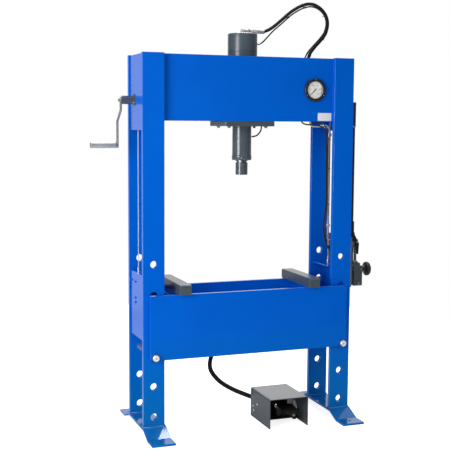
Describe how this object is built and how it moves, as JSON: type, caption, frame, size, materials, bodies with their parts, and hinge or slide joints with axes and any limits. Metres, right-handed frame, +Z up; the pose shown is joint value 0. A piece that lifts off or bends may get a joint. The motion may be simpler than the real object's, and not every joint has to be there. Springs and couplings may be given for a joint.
{
  "type": "hydraulic shop press",
  "caption": "Floor-standing hydraulic shop press: a cylinder in a plate beam over a winch-lifted table on pinned columns, with gauge, lever pump and foot pedal.",
  "frame": {"origin": "middle of the footprint on the floor, with the hoses left out", "axes": "+Z up, +X to the operator's right, +Y to the rear"},
  "size_m": [1.643, 0.69, 2.3622],
  "materials": {
    "blue_paint": "glossy blue paint",
    "grey_paint": "satin dark grey paint",
    "zinc_plate": "zinc plate",
    "bare_steel": "bare steel",
    "chrome_rod": "hard chrome",
    "black_plastic": "black",
    "white_card": "matt white dial",
    "clear_glass": "clear",
    "hose_rubber": "matt black hose"
  },
  "bodies": {
    "frame": {"column_front_left": "blue_paint", "column_rear_left": "blue_paint", "column_front_right": "blue_paint", "column_rear_right": "blue_paint", "foot_left": "blue_paint", "foot_right": "blue_paint", "beam_front_plate": "blue_paint", "beam_rear_plate": "blue_paint", "beam_end_left": "blue_paint", "beam_end_right": "blue_paint", "cylinder_plate": "grey_paint", "cylinder_barrel": "grey_paint", "cylinder_head": "grey_paint", "guide_sleeve": "grey_paint", "crank_bearing": "grey_paint", "pump_bracket": "grey_paint", "pump_block": "grey_paint", "pedal_guard": "grey_paint", "head_fitting": "zinc_plate", "gauge_block": "zinc_plate", "riser_pipe": "zinc_plate", "pedal_valve": "zinc_plate", "rope_left": "bare_steel", "rope_cross": "bare_steel", "rope_right": "bare_steel", "pedal_spring": "bare_steel", "gauge_case": "black_plastic", "pedal_base": "black_plastic", "gauge_dial": "white_card", "gauge_glass": "clear_glass", "pressure_hose": "hose_rubber", "return_hose": "hose_rubber", "jumper_hose": "hose_rubber", "supply_hose": "hose_rubber", "pedal_hose_upper": "hose_rubber", "pedal_hose_lower": "hose_rubber"},
    "ram": {"ram_rod": "bare_steel", "ram_nose": "grey_paint"},
    "table": {"table_front_plate": "blue_paint", "table_rear_plate": "blue_paint", "table_cross_left": "blue_paint", "table_cross_right": "blue_paint", "table_guide_left": "blue_paint", "table_guide_right": "blue_paint"},
    "bar_left": {"press_bar_left": "grey_paint"},
    "bar_right": {"press_bar_right": "grey_paint"},
    "pin_left_body": {"pin_left": "zinc_plate"},
    "pin_right_body": {"pin_right": "zinc_plate"},
    "crank": {"crank_shaft": "bare_steel", "crank_arm": "zinc_plate"},
    "grip": {"crank_grip": "zinc_plate"},
    "pulley_left_body": {"pulley_left": "bare_steel"},
    "pulley_right_body": {"pulley_right": "bare_steel"},
    "lever": {"lever_fork": "black_plastic", "lever_tube": "grey_paint", "lever_grip": "black_plastic"},
    "pump_piston": {"pump_rod": "chrome_rod"},
    "knob": {"release_knob": "black_plastic"},
    "tread": {"pedal_tread": "black_plastic"},
    "needle": {"gauge_needle": "black_plastic"}
  },
  "joints": [
    {"name": "ram_slide", "type": "slide", "parent": "frame", "child": "ram", "axis": [0, 0, -1], "range_m": [0, 0.25]},
    {"name": "table_lift", "type": "slide", "parent": "frame", "child": "table", "axis": [0, 0, 1], "range_m": [0, 0.498], "deforming": ["rope_left", "rope_right"]},
    {"name": "crank_turn", "type": "hinge", "parent": "frame", "child": "crank", "pos_m": [-0.5735, 0.0455, 1.804], "axis": [1, 0, 0], "range_deg": [-1042, 0]},
    {"name": "grip_spin", "type": "hinge", "parent": "crank", "child": "grip", "pos_m": [-0.7235, 0.0455, 1.562], "axis": [1, 0, 0], "continuous": true},
    {"name": "pulley_left_turn", "type": "hinge", "parent": "frame", "child": "pulley_left_body", "pos_m": [-0.524, 0.0915, 1.948], "axis": [0, 1, 0], "range_deg": [-882, 0]},
    {"name": "pulley_right_turn", "type": "hinge", "parent": "frame", "child": "pulley_right_body", "pos_m": [0.586, 0.0915, 1.948], "axis": [0, 1, 0], "range_deg": [-882, 0]},
    {"name": "bar_left_slide", "type": "slide", "parent": "table", "child": "bar_left", "axis": [1, 0, 0], "range_m": [-0.03, 0.28]},
    {"name": "bar_right_slide", "type": "slide", "parent": "table", "child": "bar_right", "axis": [1, 0, 0], "range_m": [-0.28, 0.04]},
    {"name": "pin_left_pull", "type": "slide", "parent": "frame", "child": "pin_left_body", "axis": [0, -1, 0], "range_m": [0, 0.42]},
    {"name": "pin_right_pull", "type": "slide", "parent": "frame", "child": "pin_right_body", "axis": [0, -1, 0], "range_m": [0, 0.42]},
    {"name": "lever_swing", "type": "hinge", "parent": "frame", "child": "lever", "pos_m": [0.6945, -0.045, 0.992], "axis": [0, 1, 0], "range_deg": [0, 40]},
    {"name": "pump_stroke", "type": "slide", "parent": "frame", "child": "pump_piston", "axis": [0, 0, -1], "range_m": [0, 0.0226]},
    {"name": "release_turn", "type": "hinge", "parent": "frame", "child": "knob", "pos_m": [0.7615, -0.045, 0.836], "axis": [1, 0, 0], "range_deg": [0, 180]},
    {"name": "pedal_press", "type": "hinge", "parent": "frame", "child": "tread", "pos_m": [0.2515, -0.042, 0.078], "axis": [1, 0, 0], "range_deg": [0, 9], "stiffness_Nm_per_rad": 20, "springref_deg": -5.73, "deforming": ["pedal_spring"]},
    {"name": "needle_sweep", "type": "hinge", "parent": "frame", "child": "needle", "pos_m": [0.4095, -0.13, 1.869], "axis": [0, 1, 0], "range_deg": [0, 270], "stiffness_Nm_per_rad": 0.002}
  ],
  "couplings": [
    {"joint": "crank_turn", "follows": "table_lift", "rad_per_m": -36.364},
    {"joint": "pulley_left_turn", "follows": "table_lift", "rad_per_m": -30.769},
    {"joint": "pulley_right_turn", "follows": "table_lift", "rad_per_m": -30.769},
    {"joint": "pump_stroke", "follows": "lever_swing", "m_per_rad": 0.0322}
  ]
}
